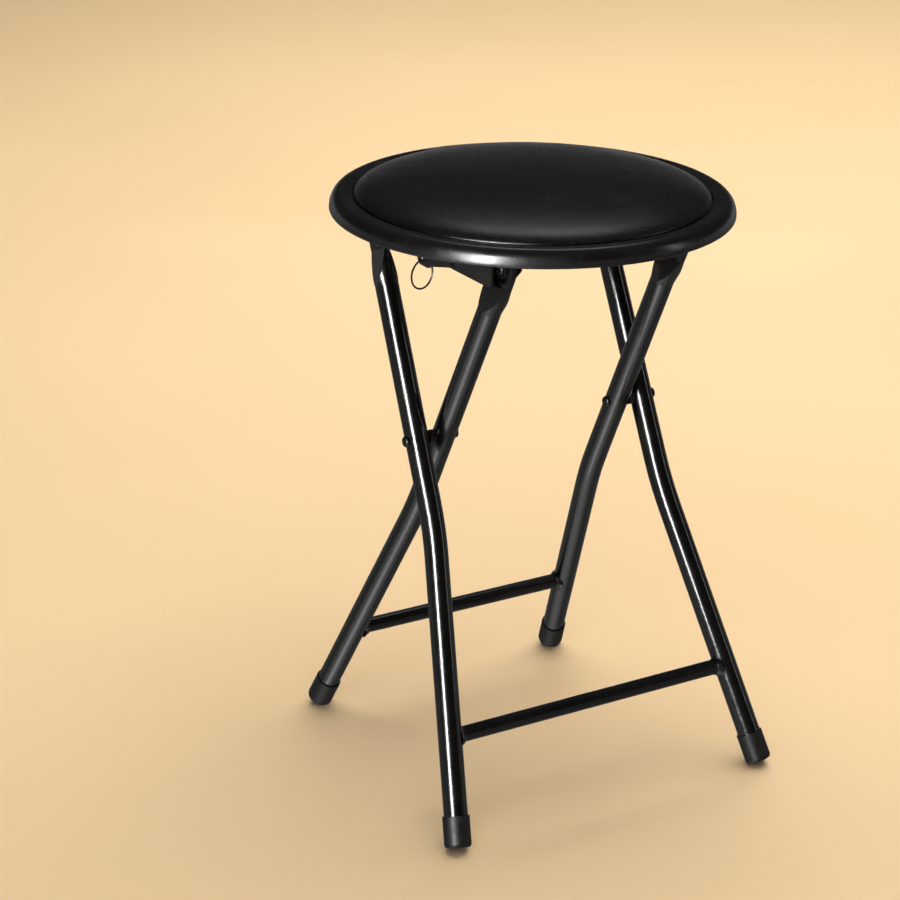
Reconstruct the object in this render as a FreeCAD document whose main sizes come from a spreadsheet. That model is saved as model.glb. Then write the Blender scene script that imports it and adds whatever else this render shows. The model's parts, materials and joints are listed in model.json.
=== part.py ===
import FreeCAD, Part
import math
import os
import Sketcher

# Round folding stool: two leg frames of bent steel tube that cross like scissors, and a padded
# round seat hinged on one frame and latched on the other. Millimetres, +Z up. The origin is on
# the floor under the centre of the seat, +X runs along the hinge pins to the right and +Y to the
# back. Left is -X. The outer frame has its feet at the front, the inner frame at the back.

Vector = FreeCAD.Vector
doc = FreeCAD.newDocument("folding_stool")

SIZES = {
    # Leg tubes, common to both frames
    "tube_diameter": 18.0,
    "tube_wall": 1.2,
    "bend_radius": 300.0,
    "round_end": 1.001,
    "press_length": 27.0,
    "tongue_thickness": 3.5,
    # Where the two frames cross
    "cross_height": 275.0,
    "cross_forward": 7.3,
    # Outer frame: feet at the front, top at the back
    "outer_lean_angle": 25.5,
    "outer_taper_angle": 1.07,
    "outer_splay_angle": 8.72,
    "outer_bend_down": 69.0,
    "outer_frame_gap": 4.8,
    "outer_bar_over_foot": 76.6,
    "outer_tongue_spread": 4.4,
    "outer_flat_length": 7.2,
    "stud_drop": 29.0,
    # Inner frame: feet at the back, top at the front
    "inner_lean_angle": 26.4,
    "inner_taper_angle": 1.21,
    "inner_splay_angle": 8.38,
    "inner_bend_down": 78.0,
    "inner_bend_half": 79.8,
    "inner_bar_over_foot": 80.4,
    "inner_tongue_spread": 8.4,
    "inner_flat_length": 12.0,
    "hinge_up": 167.6,
    # Stretcher bars and their welds
    "bar_diameter": 12.0,
    "bar_wall": 1.0,
    "weld_width": 3.0,
    "weld_root": 0.3,
    "weld_height": 2.4,
    "weld_gap": 0.05,
    # Foot caps
    "cap_wall": 1.2,
    "cap_cover": 20.0,
    "cap_floor": 3.5,
    "cap_rounding": 2.5,
    "cap_clearance": 0.05,
    # Rivets, bushes and washers
    "pin_diameter": 6.0,
    "pin_clearance": 0.05,
    "head_diameter": 8.6,
    "head_height": 2.0,
    "seat_gap": 0.15,
    "side_gap": 0.3,
    "bush_diameter": 11.0,
    "washer_diameter": 14.0,
    "washer_thickness": 1.2,
    "stud_diameter": 8.0,
    "stud_head_diameter": 13.0,
    "stud_head_height": 2.2,
    "stud_collar": 2.0,
    # Seat
    "board_over_hinge": 15.9,
    "board_edge_in": 7.8,
    "board_thickness": 6.0,
    "rim_radius": 151.0,
    "rim_width": 17.6,
    "rim_wall": 1.4,
    "rim_widest_drop": 7.6,
    "rim_lip_in": 2.6,
    "rim_lip_drop": 11.3,
    "rim_return": 9.0,
    "rim_crown_rise": 2.1,
    "pad_gap": 0.5,
    "pad_shoulder_in": 14.0,
    "pad_shoulder_height": 12.2,
    "pad_crown_height": 17.8,
    "pad_side_height": 2.4,
    "soft_gap": 0.3,
    # Brackets under the seat
    "bracket_gap": 0.3,
    "bracket_wall": 1.8,
    "bracket_outside": 8.9,
    "bracket_inside": 7.6,
    "bracket_front_ear": 11.0,
    "bracket_plate_back": 3.5,
    "bracket_back_ear": 15.0,
    "bracket_ear_below": 6.9,
    "bracket_ear_step": 5.0,
    "bracket_corner": 5.0,
    "trim_over": 1.0,
    "notch_clearance": 0.3,
    "notch_flare": 2.2,
    "notch_length": 16.0,
    "notch_angle": 31.0,
    "screw_diameter": 4.0,
    "screw_head_diameter": 8.5,
    "screw_head_height": 2.2,
    "screw_length": 5.0,
    "screw_first": 40.0,
    "screw_pitch": 62.0,
    # Latch lever, its spring and the pull ring
    "lever_thickness": 2.0,
    "lever_pivot_up": 16.0,
    "lever_boss_radius": 7.0,
    "hook_gap": 0.4,
    "hook_width": 5.0,
    "hook_reach": 2.0,
    "lever_front": 80.0,
    "lever_front_radius": 6.0,
    "lever_front_drop": 11.4,
    "tab_width": 20.4,
    "tab_back": 36.6,
    "tab_drop": 25.6,
    "tab_radius": 5.0,
    "ring_hole_in": 5.8,
    "ring_hole_diameter": 4.6,
    "ring_radius": 11.0,
    "ring_wire": 1.5,
    "ring_angle": 15.5,
    "lever_pin_diameter": 5.0,
    "post_diameter": 2.4,
    "post_head_diameter": 4.4,
    "post_head_height": 1.0,
    "spring_wire": 0.7,
    "spring_radius": 2.2,
    "spring_loop_radius": 1.85,
    "spring_turns": 4.0,
    "spring_lead": 1.0,
    "post_below_web": 7.1,
}

sheet = doc.addObject("Spreadsheet::Sheet", "Sheet")
for row, (name, size) in enumerate(SIZES.items(), start=1):
    sheet.set(f"A{row}", name)
    sheet.set(f"B{row}", str(size))
    sheet.setAlias(f"B{row}", name)
doc.recompute()


def bound(text):
    """Write a size expression with plain aliases as one that points at the sheet."""
    words = []
    word = ""
    for letter in text + " ":
        if letter.isalnum() or letter == "_":
            word += letter
            continue
        words.append("Sheet." + word if word in SIZES else word)
        words.append(letter)
        word = ""
    return "".join(words).strip()


def value(text):
    """The present number of a size expression."""
    result = sheet.evalExpression(bound(text))
    return float(getattr(result, "Value", result))


def place(x="0", y="0", z="0", axis="1; 0; 0", turn="0"):
    """The text of a placement: a shift, and a turn in degrees about an axis."""
    return f"placement(vector({x}; {y}; {z}); rotation(vector({axis}); {turn}))"


# Places that follow from the driving sizes
CROSS_Y = "(0 - cross_forward)"
OUTER_FRAME = place(y=CROSS_Y, z="cross_height", turn="0 - outer_lean_angle")
INNER_FRAME = place(y=CROSS_Y, z="cross_height", turn="inner_lean_angle")
HINGE_Y = "(0 - cross_forward - hinge_up * sin(inner_lean_angle))"
HINGE_Z = "(cross_height + hinge_up * cos(inner_lean_angle))"
BOARD_Z = f"({HINGE_Z} + board_over_hinge)"
STUD_Z = f"({BOARD_Z} - stud_drop)"
STUD_UP = f"(({STUD_Z} - cross_height) / cos(outer_lean_angle))"
STUD_Y = f"({STUD_UP} * sin(outer_lean_angle) - cross_forward)"
BOARD_TOP = f"({BOARD_Z} + board_thickness)"
RIM_TOP = f"({BOARD_TOP} + soft_gap + rim_wall)"
WEB_TOP = f"({BOARD_Z} - bracket_gap)"
WEB_LOW = f"({WEB_TOP} - bracket_wall)"
LEVER_Z = f"({STUD_Z} + lever_pivot_up)"
RIM_INNER = "(rim_radius - rim_width)"
RIM_MIDDLE = f"(({RIM_INNER} + rim_radius) / 2)"
RIM_LIP = "(rim_radius - rim_lip_in)"
PAD_RADIUS = f"({RIM_INNER} - pad_gap)"
PAD_SHOULDER = f"({PAD_RADIUS} - pad_shoulder_in)"
CAP_RADIUS = "(tube_diameter / 2 + cap_wall)"

# Half the distance between a frame's legs at their bends. The outer frame clears the inner one.
BEND_HALF = {"inner": "inner_bend_half",
             "outer": "(inner_bend_half + tube_diameter + outer_frame_gap)"}


# How far the middle of a cap's rounded edge stands in from its corner
CAP_CORNER = "(cap_rounding * (1 - sqrt(0.5)))"


def frame_half(frame, down):
    """Distance from the middle of the stool to a leg's axis, above the bend."""
    return f"({BEND_HALF[frame]} - ({frame}_bend_down - ({down})) * tan({frame}_taper_angle))"


def splayed_half(frame, down):
    """The same distance, below the bend."""
    return f"({BEND_HALF[frame]} + (({down}) - {frame}_bend_down) * tan({frame}_splay_angle))"


def foot_down(frame):
    """Length from the crossing to the tube's end, so that the cap's rounded edge just meets z 0."""
    upright = f"(cos({frame}_lean_angle) * cos({frame}_splay_angle))"
    tilt = f"sqrt(1 - pow({upright}; 2))"
    cap_low = f"(({CAP_RADIUS} - {CAP_CORNER}) * {tilt} + (cap_floor - {CAP_CORNER}) * {upright})"
    return f"((cross_height - {cap_low}) / cos({frame}_lean_angle))"


def bind(target, prop, text):
    target.setExpression(prop, bound(text))


def new_body(label, placement=None):
    body = doc.addObject("PartDesign::Body", label)
    body.Label = label
    if placement:
        bind(body, "Placement", placement)
    return body


def new_sketch(body, name, plane, x="0", y="0", z="0", axis="0; 1; 0", turn="0"):
    """A sketch on one of the body's own planes, shifted and turned in that plane's axes."""
    sketch = body.newObject("Sketcher::SketchObject", name)
    role = plane + "_Plane"
    support = [item for item in body.Origin.OriginFeatures if item.Role == role][0]
    sketch.AttachmentSupport = [(support, "")]
    sketch.MapMode = "FlatFace"
    bind(sketch, "AttachmentOffset", place(x, y, z, axis, turn))
    return sketch


def pin_point(sketch, geometry, end, corner):
    """Hold one end of a line or arc at a corner whose coordinates are size expressions."""
    for kind, text, axis in (("DistanceX", corner[0], -2), ("DistanceY", corner[1], -1)):
        if text == "0":
            sketch.addConstraint(Sketcher.Constraint("PointOnObject", geometry, end, axis))
            continue
        index = sketch.addConstraint(
            Sketcher.Constraint(kind, -1, 1, geometry, end, value(text)))
        sketch.setExpression(f"Constraints[{index}]", bound(text))


def arc_through(start, end, radius, bulge):
    """The short arc from start to end. With bulge +1 its centre is left of the way there."""
    chord = end - start
    half = chord.Length / 2
    offset = math.sqrt(max(radius ** 2 - half ** 2, 0.0))
    left = Vector(-chord.y, chord.x, 0).normalize()
    centre = (start + end) * 0.5 + left * offset * bulge
    first = math.atan2(start.y - centre.y, start.x - centre.x)
    last = math.atan2(end.y - centre.y, end.x - centre.x)
    if bulge < 0:
        first, last = last, first
    circle = Part.Circle(centre, Vector(0, 0, 1), radius)
    return Part.ArcOfCircle(circle, first, last)


def outline(sketch, corners, arcs=None, closed=True):
    """Draw lines between corners. arcs maps an edge's number to its radius and bulge."""
    arcs = arcs or {}
    points = [Vector(value(x), value(y), 0) for x, y in corners]
    count = len(points) if closed else len(points) - 1
    ends = []
    for number in range(count):
        start, end = points[number], points[(number + 1) % len(points)]
        if number in arcs:
            radius, bulge = arcs[number]
            edge = sketch.addGeometry(arc_through(start, end, value(radius), bulge))
            index = sketch.addConstraint(Sketcher.Constraint("Radius", edge, value(radius)))
            sketch.setExpression(f"Constraints[{index}]", bound(radius))
            ends.append((edge, 1, 2) if bulge > 0 else (edge, 2, 1))
        else:
            edge = sketch.addGeometry(Part.LineSegment(start, end))
            ends.append((edge, 1, 2))
        pin_point(sketch, edge, ends[number][1], corners[number])
    for number in range(count if closed else count - 1):
        this, following = ends[number], ends[(number + 1) % count]
        sketch.addConstraint(
            Sketcher.Constraint("Coincident", this[0], this[2], following[0], following[1]))
    if not closed:
        pin_point(sketch, ends[-1][0], ends[-1][2], corners[-1])


def ring_outline(sketch, radius, x="0", y="0"):
    """Draw a circle bound to a radius and a centre."""
    centre = Vector(value(x), value(y), 0)
    edge = sketch.addGeometry(Part.Circle(centre, Vector(0, 0, 1), value(radius)))
    index = sketch.addConstraint(Sketcher.Constraint("Radius", edge, value(radius)))
    sketch.setExpression(f"Constraints[{index}]", bound(radius))
    pin_point(sketch, edge, 3, (x, y))


def many_sided(sketch, width, sides):
    """Draw a wire's section with so many sides."""
    corners = []
    for side in range(sides):
        angle = f"(360 * ({side} + 0.5) / {sides})"
        corners.append((f"{width} / 2 * cos({angle})", f"{width} / 2 * sin({angle})"))
    outline(sketch, corners)


def pad(body, name, sketch, length, midplane=False, backwards=False):
    feature = body.newObject("PartDesign::Pad", name)
    feature.Profile = sketch
    bind(feature, "Length", length)
    feature.Midplane = midplane
    feature.Reversed = backwards
    return feature


def pocket(body, name, sketch, length):
    """Cut both ways from the sketch's plane, half the length each way."""
    feature = body.newObject("PartDesign::Pocket", name)
    feature.Profile = sketch
    feature.Midplane = True
    bind(feature, "Length", length)
    return feature


def revolve(body, name, sketch, axis="V_Axis"):
    feature = body.newObject("PartDesign::Revolution", name)
    feature.Profile = sketch
    feature.ReferenceAxis = (sketch, [axis])
    feature.Angle = 360.0
    return feature


def pair(label, source):
    """A piece and its mirror image as one node, for small pieces that come in twos."""
    return group(label, [source, mirrored(label + "_right", source)])


def mirrored(label, source):
    """The same piece on the right-hand side of the stool."""
    copy = doc.addObject("Part::Mirroring", label)
    copy.Label = label
    copy.Source = source
    copy.Base = Vector(0, 0, 0)
    copy.Normal = Vector(1, 0, 0)
    return copy


def cylinder(name, radius, length, placement):
    solid = doc.addObject("Part::Cylinder", name)
    bind(solid, "Radius", radius)
    bind(solid, "Height", length)
    bind(solid, "Placement", placement)
    return solid


def cut(label, base, tool):
    result = doc.addObject("Part::Cut", label)
    result.Label = label
    result.Base = base
    result.Tool = tool
    return result


def group(label, pieces):
    """Separate solids kept as one named piece."""
    result = doc.addObject("Part::Compound", label)
    result.Label = label
    result.Links = pieces
    return result


PIECES = []


def keep(*pieces):
    PIECES.extend(pieces)


# Leg tubes. Each is one bent tube, hollow up to where its top is pressed flat into a tongue. The
# pressed part flares to the tongue's width and is flattened on both faces by a slanting die.
def left_leg(label, frame, placement, pin_up, pin_size):
    body = new_body(label, placement)
    foot = foot_down(frame)
    half = BEND_HALF[frame]
    flat_up = f"({pin_up} - {frame}_flat_length)"
    round_up = f"({flat_up} - press_length)"
    top_half = frame_half(frame, f"0 - {round_up}")
    tongue_half = frame_half(frame, f"0 - {flat_up}")
    tangent = f"(bend_radius * tan(({frame}_splay_angle - {frame}_taper_angle) / 2))"
    low_end = (f"0 - {splayed_half(frame, foot)}", f"0 - {foot}")
    below = (f"0 - {half} - {tangent} * sin({frame}_splay_angle)",
             f"0 - {frame}_bend_down - {tangent} * cos({frame}_splay_angle)")
    above = (f"0 - {half} + {tangent} * sin({frame}_taper_angle)",
             f"{tangent} * cos({frame}_taper_angle) - {frame}_bend_down")
    top_end = (f"0 - {top_half}", round_up)
    path = new_sketch(body, label + "_path", "XZ")
    outline(path, [low_end, below, above, top_end], {1: ("bend_radius", 1)}, closed=False)
    ends = {"x": low_end[0], "z": low_end[1], "turn": f"{frame}_splay_angle"}
    section = new_sketch(body, label + "_section", "XY", **ends)
    ring_outline(section, "tube_diameter / 2")
    tube = body.newObject("PartDesign::AdditivePipe", label + "_tube")
    tube.Profile = section
    tube.Spine = path
    middle = new_sketch(body, label + "_bore_path", "XZ")
    corner = (f"0 - {half}", f"0 - {frame}_bend_down")
    outline(middle, [low_end, corner, top_end], closed=False)
    hole = new_sketch(body, label + "_bore_section", "XY", **ends)
    ring_outline(hole, "tube_diameter / 2 - tube_wall")
    bore = body.newObject("PartDesign::SubtractivePipe", label + "_bore")
    bore.Profile = hole
    bore.Spine = middle
    bore.Transition = 1
    half_width = f"((tube_diameter + {frame}_tongue_spread) / 2)"
    flare = new_sketch(body, label + "_flare_section", "XZ", x=top_end[0], y=top_end[1],
                       axis="0; 0; 1", turn=f"0 - {frame}_taper_angle")
    outline(flare, [("0", "0"), ("tube_diameter / 2", "0"), (half_width, "press_length"),
                    ("0", "press_length")])
    revolve(body, label + "_flare", flare)
    die = new_sketch(body, label + "_die_outline", "XZ")
    tongue_face = "(tongue_thickness / 2)"
    for side in ("0 - ", ""):
        outline(die, [(f"{side}{tongue_face} - {tongue_half}", flat_up),
                      (f"{side}(tube_diameter / 2) - {top_half}", round_up),
                      (f"{side}tube_diameter - {top_half}", round_up),
                      (f"{side}tube_diameter - {top_half}", f"{flat_up} + trim_over"),
                      (f"{side}{tongue_face} - {tongue_half}", f"{flat_up} + trim_over")])
    pocket(body, label + "_die_press", die, "tube_diameter * 2")
    tongue = new_sketch(body, label + "_tongue_outline", "YZ", z=f"0 - {tongue_half}")
    outline(tongue, [(f"0 - {half_width}", flat_up), (half_width, flat_up),
                     (half_width, pin_up), ("0", f"{pin_up} + {half_width}"),
                     (f"0 - {half_width}", pin_up)],
            {2: (half_width, 1), 3: (half_width, 1)})
    pad(body, label + "_tongue", tongue, "tongue_thickness", midplane=True)
    cross = new_sketch(body, label + "_cross_hole", "YZ", z=f"0 - {frame_half(frame, '0')}")
    ring_outline(cross, "pin_diameter / 2 + pin_clearance")
    pocket(body, label + "_cross_bore", cross, "tube_diameter * 2")
    pin = new_sketch(body, label + "_pin_hole", "YZ", z=f"0 - {tongue_half}")
    ring_outline(pin, f"{pin_size} / 2 + pin_clearance", y=pin_up)
    body.Tip = pocket(body, label + "_pin_bore", pin, "tongue_thickness * 3")
    return body


outer_leg_left = left_leg("outer_leg_left", "outer", OUTER_FRAME, STUD_UP, "stud_diameter")
inner_leg_left = left_leg("inner_leg_left", "inner", INNER_FRAME, "hinge_up", "pin_diameter")
keep(outer_leg_left, mirrored("outer_leg_right", outer_leg_left))
keep(inner_leg_left, mirrored("inner_leg_right", inner_leg_left))


# Foot caps: plastic cups pushed over the tube ends.
def left_cap(label, frame, placement):
    foot = foot_down(frame)
    end = place(x=f"0 - {splayed_half(frame, foot)}", z=f"0 - {foot}",
                axis="0; 1; 0", turn=f"{frame}_splay_angle")
    body = new_body(label, f"{placement} * {end}")
    section = new_sketch(body, label + "_section", "XZ")
    outside = CAP_RADIUS
    bore = "(tube_diameter / 2 + cap_clearance)"
    outline(section, [("0", "0 - cap_floor"),
                      (f"{outside} - cap_rounding", "0 - cap_floor"),
                      (f"{outside} - {CAP_CORNER}", f"{CAP_CORNER} - cap_floor"),
                      (outside, "cap_rounding - cap_floor"),
                      (outside, "cap_cover"),
                      (bore, "cap_cover"),
                      (bore, "0 - cap_clearance"),
                      ("0", "0 - cap_clearance")])
    body.Tip = revolve(body, label + "_cup", section)
    return body


keep(pair("foot_caps_front", left_cap("foot_cap_front_left", "outer", OUTER_FRAME)))
keep(pair("foot_caps_back", left_cap("foot_cap_back_left", "inner", INNER_FRAME)))


# Stretchers: thinner tubes whose ends are coped to the legs and welded all round.
def stretcher(frame, placement):
    down = f"({foot_down(frame)} - {frame}_bar_over_foot)"
    half = splayed_half(frame, down)
    name = frame + "_stretcher"
    across = f"{placement} * " + place(x=f"0 - {half}", z=f"0 - {down}", axis="0; 1; 0",
                                       turn="90")
    rod = cylinder(name + "_rod", "bar_diameter / 2", f"2 * {half}", across)
    bore = cylinder(name + "_bore", "bar_diameter / 2 - bar_wall", f"2 * {half}", across)
    tube = cut(name + "_tube", rod, bore)
    bead_reach = f"({half} - tube_diameter / 2 * cos({frame}_splay_angle) - weld_height)"
    beads = []
    copes = []
    for side, sign in (("left", "0 - "), ("right", "")):
        turn = f"{frame}_splay_angle" if side == "left" else f"0 - {frame}_splay_angle"
        along = f"{placement} * " + place(x=f"{sign}{half}", z=f"0 - {down}",
                                          axis="0; 1; 0", turn=turn)
        back = along + " * " + place(z="0 - tube_diameter * 2")
        copes.append(cylinder(f"{name}_cope_{side}", "tube_diameter / 2 + weld_gap",
                              "tube_diameter * 4", back))
        cone = doc.addObject("Part::Cone", f"{name}_bead_{side}")
        bind(cone, "Radius1", "bar_diameter / 2 + weld_root")
        bind(cone, "Radius2", "bar_diameter / 2 + weld_width")
        bind(cone, "Height", "weld_height * 2")
        facing = "90" if side == "right" else "270"
        bind(cone, "Placement", f"{placement} * " + place(
            x=f"{sign}{bead_reach}", z=f"0 - {down}", axis="0; 1; 0", turn=facing))
        ring = cut(f"{name}_bead_ring_{side}", cone, copes[-1])
        through = cylinder(f"{name}_core_{side}", "bar_diameter / 2 + weld_gap",
                           f"2 * {half}", across)
        beads.append(cut(f"{name}_bead_open_{side}", ring, through))
    coped = cut(name + "_coped", tube, copes[0])
    bar = cut(name, coped, copes[1])
    welds = group(f"{frame}_stretcher_welds", beads)
    return bar, welds


keep(*stretcher("outer", OUTER_FRAME))
keep(*stretcher("inner", INNER_FRAME))


# Turned pieces on one axis along X: rivets, studs, bushes and washers.
def left_turned(label, corners, y, z):
    body = new_body(label, place(y=y, z=z))
    section = new_sketch(body, label + "_section", "XZ")
    outline(section, corners)
    body.Tip = revolve(body, label + "_turned", section, "H_Axis")
    return body


def left_rivet(label, start, end, radius, y, z):
    """A rivet with a flat head at each end of a shank that runs from start to end."""
    return left_turned(label, [
        (f"{start} - head_height", "0"),
        (f"{end} + head_height", "0"),
        (f"{end} + head_height", "head_diameter / 2"),
        (end, "head_diameter / 2"),
        (end, radius),
        (start, radius),
        (start, "head_diameter / 2"),
        (f"{start} - head_height", "head_diameter / 2")], y, z)


def left_collar(label, start, end, inner_radius, outer_radius, y, z):
    """A bush or washer between two places along the axis."""
    return left_turned(label, [(start, inner_radius), (end, inner_radius),
                               (end, outer_radius), (start, outer_radius)], y, z)


OUTER_AT_CROSS = frame_half("outer", "0")
INNER_AT_CROSS = frame_half("inner", "0")
cross_rivet = left_rivet(
    "scissor_rivet_left",
    f"(0 - {OUTER_AT_CROSS} - tube_diameter / 2 - seat_gap)",
    f"(tube_diameter / 2 + side_gap - {INNER_AT_CROSS})",
    "pin_diameter / 2", CROSS_Y, "cross_height")
cross_spacer = left_collar(
    "scissor_spacer_left",
    f"(tube_diameter / 2 + seat_gap - {OUTER_AT_CROSS})",
    f"(0 - {INNER_AT_CROSS} - tube_diameter / 2 - side_gap)",
    "pin_diameter / 2 + pin_clearance", "bush_diameter / 2", CROSS_Y, "cross_height")
keep(pair("scissor_rivets", cross_rivet), pair("scissor_spacers", cross_spacer))

OUTER_TONGUE = frame_half("outer", f"outer_flat_length - {STUD_UP}")
INNER_TONGUE = frame_half("inner", "inner_flat_length - hinge_up")
INNER_TONGUE_OUT = f"(0 - {INNER_TONGUE} - tongue_thickness / 2)"
INNER_TONGUE_IN = f"(tongue_thickness / 2 - {INNER_TONGUE})"
BRACKET_OUT = f"({INNER_TONGUE} + bracket_outside)"
BRACKET_IN = f"({INNER_TONGUE} - bracket_inside)"
hinge_rivet = left_rivet(
    "hinge_rivet_left",
    f"({INNER_TONGUE_OUT} - washer_thickness - side_gap - pin_clearance)",
    f"(0 - {BRACKET_IN} + pin_clearance)",
    "pin_diameter / 2", HINGE_Y, HINGE_Z)
hinge_washer = left_collar(
    "hinge_washer_left",
    f"({INNER_TONGUE_OUT} - washer_thickness - side_gap)",
    f"({INNER_TONGUE_OUT} - side_gap)",
    "pin_diameter / 2 + pin_clearance", "washer_diameter / 2", HINGE_Y, HINGE_Z)
hinge_bush = left_collar(
    "hinge_bush_left",
    f"({INNER_TONGUE_IN} + side_gap)",
    f"(0 - {BRACKET_IN} - bracket_wall - pin_clearance)",
    "pin_diameter / 2 + pin_clearance", "bush_diameter / 2", HINGE_Y, HINGE_Z)
keep(pair("hinge_rivets", hinge_rivet), pair("hinge_washers", hinge_washer))
keep(pair("hinge_bushes", hinge_bush))

# Seat studs: shouldered pins through the outer tongues, which the seat's notches sit on.
OUTER_TONGUE_OUT = f"(0 - {OUTER_TONGUE} - tongue_thickness / 2 - pin_clearance)"
OUTER_TONGUE_IN = f"(tongue_thickness / 2 + pin_clearance - {OUTER_TONGUE})"
STUD_TIP = f"(bracket_wall * 2 - {BRACKET_OUT})"
seat_stud = left_turned("seat_stud_left", [
    (f"{OUTER_TONGUE_OUT} - stud_head_height", "0"),
    (STUD_TIP, "0"),
    (STUD_TIP, "stud_diameter / 2"),
    (f"{OUTER_TONGUE_IN} + stud_collar", "stud_diameter / 2"),
    (f"{OUTER_TONGUE_IN} + stud_collar", "stud_head_diameter / 2"),
    (OUTER_TONGUE_IN, "stud_head_diameter / 2"),
    (OUTER_TONGUE_IN, "stud_diameter / 2"),
    (OUTER_TONGUE_OUT, "stud_diameter / 2"),
    (OUTER_TONGUE_OUT, "stud_head_diameter / 2"),
    (f"{OUTER_TONGUE_OUT} - stud_head_height", "stud_head_diameter / 2")],
    STUD_Y, STUD_Z)
keep(pair("seat_studs", seat_stud))

# Seat board, the round panel that carries the pad and the brackets
seat_board = new_body("seat_board", place(z=BOARD_Z))
board_edge = new_sketch(seat_board, "board_outline", "XY")
ring_outline(board_edge, "rim_radius - board_edge_in")
seat_board.Tip = pad(seat_board, "board_panel", board_edge, "board_thickness")

# Seat rim: a sheet steel ring, rounded over the board's edge and returned under it
def rim_line(inset, rise_steps, over_steps, under_steps):
    """Half outline of the rim's sheet from its inner edge, over the top and round to its lip."""
    line = []
    for step in range(rise_steps):
        turn = f"(90 * {step} / {rise_steps})"
        line.append((f"{RIM_MIDDLE} - ({RIM_MIDDLE} - {RIM_INNER}) * cos({turn})",
                     f"rim_crown_rise * sin({turn}) - {inset}"))
    for step in range(over_steps + 1):
        turn = f"(90 * {step} / {over_steps})"
        line.append((f"{RIM_MIDDLE} + (rim_radius - {inset} - {RIM_MIDDLE}) * sin({turn})",
                     f"(rim_crown_rise - {inset} + rim_widest_drop) * cos({turn})"
                     f" - rim_widest_drop"))
    for step in range(1, under_steps + 1):
        turn = f"(90 * {step} / {under_steps})"
        line.append((f"{RIM_LIP} - {inset} + rim_lip_in * cos({turn})",
                     f"0 - rim_widest_drop - (rim_lip_drop - {inset} - rim_widest_drop)"
                     f" * sin({turn})"))
    return line


seat_rim = new_body("seat_rim", place(z=RIM_TOP))
rim_section = new_sketch(seat_rim, "rim_section", "XZ")
outline(rim_section, rim_line("0", 2, 3, 1)
        + [(f"{RIM_LIP} - rim_return", "0 - rim_lip_drop"),
           (f"{RIM_LIP} - rim_return", "rim_wall - rim_lip_drop")]
        + rim_line("rim_wall", 1, 2, 1)[::-1])
seat_rim.Tip = revolve(seat_rim, "rim_ring", rim_section)

# Padded top: foam with its vinyl bonded on, crowned and rolled over at its edge. Its foot sits
# inside the rim, and its outline follows a quarter oval and then a shallow crown.
def pad_line(shoulder_steps, crown_steps):
    line = [("0", "0"), (PAD_RADIUS, "0")]
    for step in range(shoulder_steps + 1):
        turn = f"(90 * {step} / {shoulder_steps})"
        line.append((f"{PAD_SHOULDER} + pad_shoulder_in * cos({turn})",
                     f"pad_side_height + (pad_shoulder_height - pad_side_height) * sin({turn})"))
    for step in range(1, crown_steps + 1):
        share = f"(1 - {step} / {crown_steps})"
        line.append((f"{PAD_SHOULDER} * {share}",
                     f"pad_shoulder_height + (pad_crown_height - pad_shoulder_height)"
                     f" * (1 - pow({share}; 2))"))
    return line


seat_pad = new_body("seat_pad", place(z=f"({BOARD_TOP} + soft_gap)"))
pad_section = new_sketch(seat_pad, "pad_section", "XZ")
outline(pad_section, pad_line(3, 2))
seat_pad.Tip = revolve(seat_pad, "pad_turned", pad_section)
keep(seat_board, seat_rim, seat_pad)

# Brackets: folded steel channels under the board. The inner flange carries the hinge rivet; the
# outer one stops short of it and ends in a notch that drops over the stud.
channel = new_body("bracket_channel")
channel_section = new_sketch(channel, "channel_section", "XZ", z=f"0 - {STUD_Y} - bracket_back_ear")
outer = f"(0 - {BRACKET_OUT})"
inner = f"(0 - {BRACKET_IN})"
low = f"({STUD_Z} - bracket_ear_below)"
bend = "bracket_wall * 1.5"
FLANGE_CUT = "bracket_wall * 1.5"
outline(channel_section, [
    (outer, low), (f"{outer} + bracket_wall", low),
    (f"{outer} + bracket_wall", WEB_LOW), (f"{inner} - bracket_wall", WEB_LOW),
    (f"{inner} - bracket_wall", low), (inner, low),
    (inner, f"{WEB_TOP} - {bend}"), (f"{inner} - {bend}", WEB_TOP),
    (f"{outer} + {bend}", WEB_TOP), (outer, f"{WEB_TOP} - {bend}")],
    {6: (bend, 1), 8: (bend, 1)})
channel_length = f"({STUD_Y} + bracket_back_ear - {HINGE_Y} + bracket_front_ear)"
pad(channel, "channel_bar", channel_section, channel_length)


def flange_trim(name, half, corners, arcs=None):
    """Cut a flange away below a line of corners in the stool's own Y and Z."""
    trim = new_sketch(channel, name + "_outline", "YZ", z=f"0 - {half} + bracket_wall / 2")
    outline(trim, corners, arcs)
    return pocket(channel, name, trim, FLANGE_CUT)


PLATE_FRONT = f"({HINGE_Y} + bracket_plate_back)"
PLATE_LOW = f"({low} + bracket_ear_step)"
FRONT_END = f"({HINGE_Y} - bracket_front_ear - trim_over)"
BACK_END = f"({STUD_Y} + bracket_back_ear + trim_over)"
UNDER = f"({low} - trim_over)"
flange_trim("outer_flange_front", BRACKET_OUT, [
    (FRONT_END, UNDER), (PLATE_FRONT, UNDER), (PLATE_FRONT, WEB_LOW), (FRONT_END, WEB_LOW)])
flange_trim("outer_flange_low", BRACKET_OUT, [
    (f"{PLATE_FRONT} - trim_over", UNDER), (f"{STUD_Y} - bracket_back_ear", UNDER),
    (f"{STUD_Y} - bracket_back_ear - bracket_corner", PLATE_LOW),
    (f"{PLATE_FRONT} + bracket_corner", PLATE_LOW),
    (PLATE_FRONT, f"{PLATE_LOW} + bracket_corner"),
    (f"{PLATE_FRONT} - trim_over", f"{PLATE_LOW} + bracket_corner")],
    {3: ("bracket_corner", -1)})
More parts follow.
